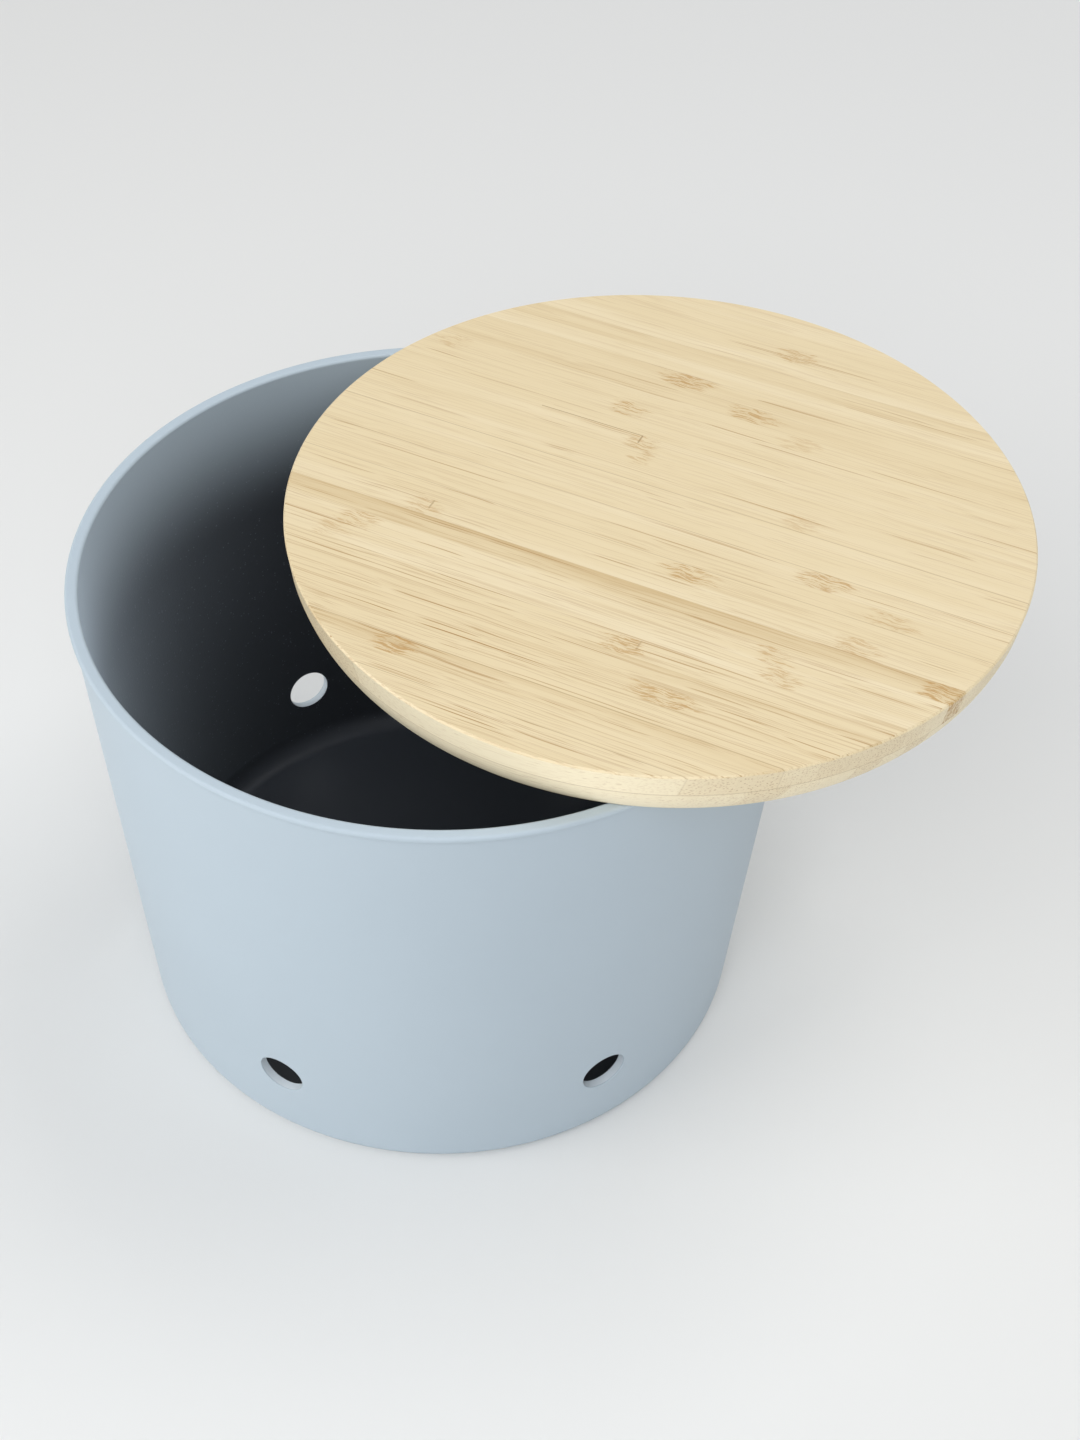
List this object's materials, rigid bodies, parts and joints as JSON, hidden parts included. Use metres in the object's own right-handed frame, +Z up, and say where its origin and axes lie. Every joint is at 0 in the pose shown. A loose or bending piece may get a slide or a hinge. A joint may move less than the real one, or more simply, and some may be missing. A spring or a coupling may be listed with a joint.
{
  "type": "vegetable storage canister",
  "caption": "Tapered round storage pot with vent holes low in its wall and a loose round bamboo lid that lies askew on the rim, for keeping onions or other vegetables",
  "frame": {"origin": "on the pot's axis, in the plane of its foot ring, which is the surface it stands on", "axes": "+Z is up along the pot's axis, -Y is the front of the pot, and the lid lies pushed towards +X"},
  "size_m": [0.2577, 0.204, 0.164],
  "materials": {
    "pot_plastic": "matte moulded plastic, pale grey blue, with a nearly black satin coat inside",
    "bamboo": "fine sanded bamboo with a thin matte oil finish"
  },
  "bodies": {
    "pot_body": {"pot": "pot_plastic"},
    "lid": {"lid_base_strips_even": "bamboo", "lid_base_strips_odd": "bamboo", "lid_top_strip_01": "bamboo", "lid_top_strip_02": "bamboo", "lid_top_strip_03": "bamboo", "lid_top_strip_04": "bamboo", "lid_top_strip_05": "bamboo", "lid_top_strip_06": "bamboo", "lid_top_strip_07": "bamboo", "lid_top_strip_08_left": "bamboo", "lid_top_strip_08_right": "bamboo", "lid_top_strip_09": "bamboo", "lid_top_strip_10": "bamboo", "lid_top_strip_11": "bamboo", "lid_top_strip_12_left": "bamboo", "lid_top_strip_12_right": "bamboo", "lid_top_strip_13": "bamboo", "lid_top_strip_14": "bamboo", "lid_top_strip_15": "bamboo", "lid_top_strip_16": "bamboo", "lid_top_strip_17": "bamboo", "lid_top_strip_18": "bamboo", "lid_top_strip_19": "bamboo", "lid_top_strip_20_left": "bamboo", "lid_top_strip_20_right": "bamboo", "lid_top_strip_21": "bamboo", "lid_top_strip_22": "bamboo", "lid_top_strip_23": "bamboo", "lid_top_strip_24": "bamboo", "lid_top_strip_25": "bamboo", "lid_top_strip_26": "bamboo", "lid_top_strip_27": "bamboo", "lid_top_strip_28": "bamboo", "lid_top_strip_29": "bamboo", "lid_top_strip_30": "bamboo", "lid_top_strip_31": "bamboo", "lid_top_strip_32": "bamboo"}
  },
  "joints": [
    {"name": "lid_lift", "type": "slide", "parent": "pot_body", "child": "lid", "axis": [0, 0, 1], "range_m": [0, 0.2]}
  ]
}
